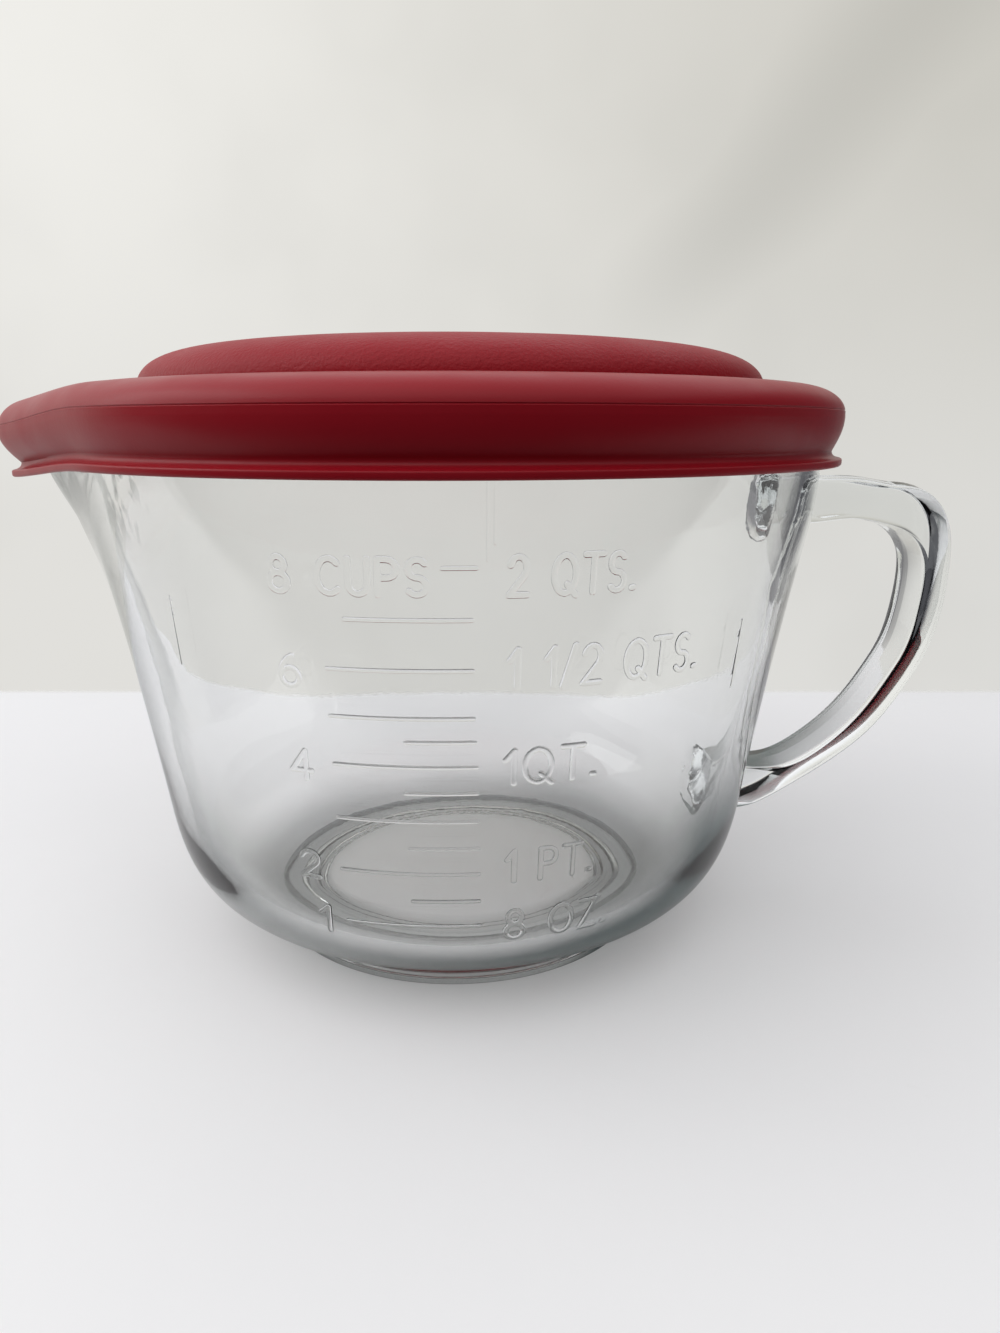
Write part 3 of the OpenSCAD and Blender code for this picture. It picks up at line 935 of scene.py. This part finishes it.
def glass_material():
    """Clear soda-lime glass, fire polished, faintly green where it is thick, with shade painted into its
    colour at the base and beside the spout
    """
    material, n = new_material("clear_glass")
    at = n.add("ShaderNodeTexCoord").outputs["Object"]
    along, _, height = n.add("ShaderNodeSeparateXYZ", {0: at}).outputs
    out = n.add("ShaderNodeVectorMath", {0: at, 1: (1, 1, 0)}, operation="MULTIPLY").outputs[0]
    across = n.add("ShaderNodeVectorMath", {0: out}, operation="LENGTH").outputs["Value"]
    relief = n.math("ADD", n.noise(at, 45.0, 2.0), n.math("MULTIPLY", n.noise(at, 420.0, 3.0), 0.08))
    bump = n.add("ShaderNodeBump", {"Strength": 0.1, "Distance": 0.0006, "Height": relief})
    dull = n.ramp(n.noise(at, 900.0, 4.0), 0.55, 0.8, 0.0, 0.04)
    grazing = n.add("ShaderNodeLayerWeight", {"Blend": 0.5}).outputs["Facing"]
    # Painted shade: where the glass's colour is painted dark, at its base and beside the spout.
    thick = painted_base_shade(n, grazing, along, across, height)
    dim = n.math("MAXIMUM", thick, painted_spout_shade(n, grazing, at, along, height))
    # Painted shade: the glass's colour falls to near black where that painted shade is full.
    painted_shade_colour = n.mix(dim, (1, 1, 1, 1), (0.025, 0.04, 0.04, 1))
    glass = n.add(
        "ShaderNodeBsdfPrincipled",
        {
            "Base Color": painted_shade_colour,
            "Roughness": dull,
            "IOR": 1.49,
            "Transmission Weight": 1.0,
            "Normal": bump.outputs[0],
        },
    )
    clear = n.add("ShaderNodeBsdfTransparent", {"Color": lamps_through(n, grazing, height)})
    path = n.add("ShaderNodeLightPath")
    mixed = n.add(
        "ShaderNodeMixShader",
        {0: path.outputs["Is Shadow Ray"], 1: glass.outputs[0], 2: clear.outputs[0]},
    )
    depth = n.add("ShaderNodeVolumeAbsorption", {"Color": (0.5, 0.66, 0.62, 1), "Density": 6.0})
    n.add("ShaderNodeOutputMaterial", {"Surface": mixed.outputs[0], "Volume": depth.outputs[0]})
    return material


def lid_material():
    """Satin cherry-red plastic, finely grained on the raised middle"""
    material, n = new_material("lid_plastic")
    at = n.add("ShaderNodeTexCoord").outputs["Object"]
    parts = n.add("ShaderNodeSeparateXYZ", {0: at})
    across = n.math(
        "SQRT",
        n.math(
            "ADD",
            n.math("MULTIPLY", parts.outputs[0], parts.outputs[0]),
            n.math("MULTIPLY", parts.outputs[1], parts.outputs[1]),
        ),
    )
    on_dome = n.ramp(across, DOME_R * MM - 0.001, DOME_R * MM + 0.0015, 1.0, 0.0)
    grain = n.noise(at, 1100.0, 3.0, 0.6)
    cloud = n.noise(at, 28.0, 3.0)
    colour = n.mix(cloud, (0.31, 0.003, 0.010, 1), (0.35, 0.006, 0.015, 1))
    rough = n.math(
        "ADD",
        n.math("MULTIPLY", on_dome, 0.12),
        n.ramp(n.noise(at, 60.0, 4.0), 0.3, 0.7, 0.32, 0.4),
    )
    strength = n.math("ADD", n.math("MULTIPLY", on_dome, 0.5), 0.05)
    bump = n.add("ShaderNodeBump", {"Strength": strength, "Distance": 0.0004, "Height": grain})
    plastic = n.add(
        "ShaderNodeBsdfPrincipled",
        {
            "Base Color": colour,
            "Roughness": rough,
            "IOR": 1.48,
            "Specular IOR Level": 0.22,
            "Normal": bump.outputs[0],
        },
    )
    n.add("ShaderNodeOutputMaterial", {"Surface": plastic.outputs[0]})
    return material


# Stage, light and camera


def floor_material():
    """White cloth with faint smudges, that ends softly behind. Painted light makes it paler in front than
    behind and a painted glow lifts its shade; painted shade darkens it into the room in front"""
    material, n = new_material("floor_cloth")
    at = n.add("ShaderNodeTexCoord").outputs["Object"]
    parts = n.add("ShaderNodeSeparateXYZ", {0: at})
    cloud = n.noise(at, 9.0, 4.0)
    # Painted shade and light: the cloth is painted darker behind the bowl and paler in front of it, as the
    # light falls, each with a random cloudy tone.
    shaded_back_cloth = n.mix(cloud, (0.65, 0.65, 0.66, 1), (0.69, 0.69, 0.695, 1))
    bright = n.mix(cloud, (0.74, 0.74, 0.745, 1), (0.78, 0.78, 0.78, 1))
    cloth_with_painted_light = n.mix(n.ramp(parts.outputs[1], 0.1, -0.09), shaded_back_cloth, bright)
    spots = n.ramp(n.noise(at, 38.0, 5.0, 0.7), 0.66, 0.8, 0.0, 0.35)
    colour = n.mix(spots, cloth_with_painted_light, (0.62, 0.61, 0.6, 1))
    clear = n.add("ShaderNodeBsdfTransparent")
    # Painted shade: past FLOOR_FRONT the cloth is painted dark grey, standing for the dim room's shade.
    near = n.ramp(parts.outputs[1], FLOOR_FRONT * MM, (FLOOR_FRONT - 40) * MM)
    colour = n.mix(near, colour, (0.1, 0.1, 0.11, 1))
    weave = n.add("ShaderNodeBump", {"Strength": 0.15, "Distance": 0.0006, "Height": n.noise(at, 160.0, 4.0)})
    cloth = n.add("ShaderNodeBsdfDiffuse", {"Color": colour, "Normal": weave.outputs[0]})
    path = n.add("ShaderNodeLightPath")
    seen = n.math("MAXIMUM", path.outputs["Is Camera Ray"], path.outputs["Is Transmission Ray"])
    # Painted light: an even glow on the cloth for camera rays and rays through the glass, fading out into the
    # dark front.
    away = n.math("MULTIPLY", seen, n.ramp(near, 0.0, 1.0, FLOOR_FILL, 0.0))
    fill = n.add("ShaderNodeEmission", {"Color": (1, 1, 1, 1), "Strength": away})
    lit = n.add("ShaderNodeAddShader", {0: cloth.outputs[0], 1: fill.outputs[0]})
    edge = n.ramp(parts.outputs[1], (FLOOR_BACK - 9) * MM, FLOOR_BACK * MM)
    mixed = n.add("ShaderNodeMixShader", {0: edge, 1: lit.outputs[0], 2: clear.outputs[0]})
    n.add("ShaderNodeOutputMaterial", {"Surface": mixed.outputs[0]})
    return material


def make_floor():
    """Pale table top that ends behind the bowl, turned as the camera is"""
    side = FLOOR_SIDE
    corners = [(-side, -side, 0), (side, -side, 0), (side, FLOOR_BACK, 0), (-side, FLOOR_BACK, 0)]
    floor = mesh_object("table_top", corners, [(0, 1, 2, 3)])
    floor.rotation_euler = (0, 0, math.radians(CAMERA_TURN))
    floor.data.materials.append(floor_material())


def make_world():
    """Pale cloth behind with a soft fold, bright ceiling, and a dim room in front"""
    world = bpy.data.worlds.new("studio")
    bpy.context.scene.world = world
    world.use_nodes = True
    n = Nodes(world.node_tree)
    towards = n.add("ShaderNodeTexCoord").outputs["Generated"]
    parts = n.add("ShaderNodeSeparateXYZ", {0: towards})
    x, y, z = parts.outputs
    high = n.ramp(z, -0.2, 0.38)
    left = n.mix(high, (0.755, 0.745, 0.715, 1), (0.90, 0.89, 0.855, 1))
    right = n.mix(high, (0.72, 0.715, 0.69, 1), (0.58, 0.565, 0.515, 1))
    plain = n.mix(n.ramp(x, -0.5, 0.75), left, right)
    lean = n.math("ADD", x, n.math("MULTIPLY", z, -0.73))
    off = n.math("ABSOLUTE", n.math("ADD", lean, -0.195))
    fold = n.math("MULTIPLY", n.ramp(off, 0.0, 0.12, 0.24, 0.0), n.ramp(z, 0.03, 0.2))
    drape = n.ramp(n.noise(towards, 4.5, 3.0), 0.35, 0.75, 0.0, 0.09)
    pale = n.mix(n.math("MAXIMUM", fold, drape), plain, (0.30, 0.30, 0.275, 1))
    ceiling = n.mix(n.ramp(z, 0.42, 0.66), pale, (1.0, 1.0, 1.02, 1))
    front = n.math("MULTIPLY", n.ramp(y, 0.45, 0.1), n.ramp(z, 0.72, 0.5))
    dim = n.math("MAXIMUM", front, n.math("MULTIPLY", n.ramp(x, 0.56, 0.75), n.ramp(z, 0.8, 0.5)))
    room = n.mix(dim, ceiling, (0.13, 0.13, 0.14, 1))
    back = n.add("ShaderNodeBackground", {"Color": room, "Strength": 1.0})
    n.add("ShaderNodeOutputWorld", {"Surface": back.outputs[0]})


def softbox(name, place_mm, target_mm, size_mm, power):
    lamp = bpy.data.lights.new(name, "AREA")
    lamp.shape = "RECTANGLE"
    lamp.size = size_mm[0] * MM
    lamp.size_y = size_mm[1] * MM
    lamp.energy = power
    box = bpy.data.objects.new(name, lamp)
    bpy.context.scene.collection.objects.link(box)
    at, target = Vector(place_mm) * MM, Vector(target_mm) * MM
    box.location = at
    box.rotation_euler = (target - at).to_track_quat("-Z", "Y").to_euler()


def make_lights():
    softbox("overhead", (-450, -350, 1050), (0, 0, 60), (1200, 900), 1.8)
    softbox("left_window", (-1000, 0, 780), (0, 0, 60), (1000, 800), 4.4)


def make_camera():
    data = bpy.data.cameras.new("camera")
    data.sensor_width = SENSOR_W
    data.lens = CAMERA_LENS
    data.clip_start = 0.01
    camera = bpy.data.objects.new("camera", data)
    camera.location = [v * MM for v in CAMERA_AT]
    camera.rotation_euler = (math.radians(CAMERA_TILT), 0, math.radians(CAMERA_TURN))
    bpy.context.scene.collection.objects.link(camera)
    bpy.context.scene.camera = camera


def finish_piece(piece, material, slot, body, *nodes):
    piece.data.materials.clear()
    piece.data.materials.append(material)
    piece.data.shade_smooth()
    piece.data.set_sharp_from_angle(angle=math.radians(38))
    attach(piece, body)
    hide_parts(*nodes)


make_camera()
make_world()
make_lights()
make_floor()

vessel = make_glass_wall()
unite(vessel, make_handle())
unite(vessel, make_marks())
finish_piece(vessel, glass_material(), "glass", "bowl", "bowl", "handle")

lid = make_lid()
finish_piece(lid, lid_material(), "lid_plastic", "lid", "lid")

bpy.context.scene.view_settings.view_transform = "Standard"
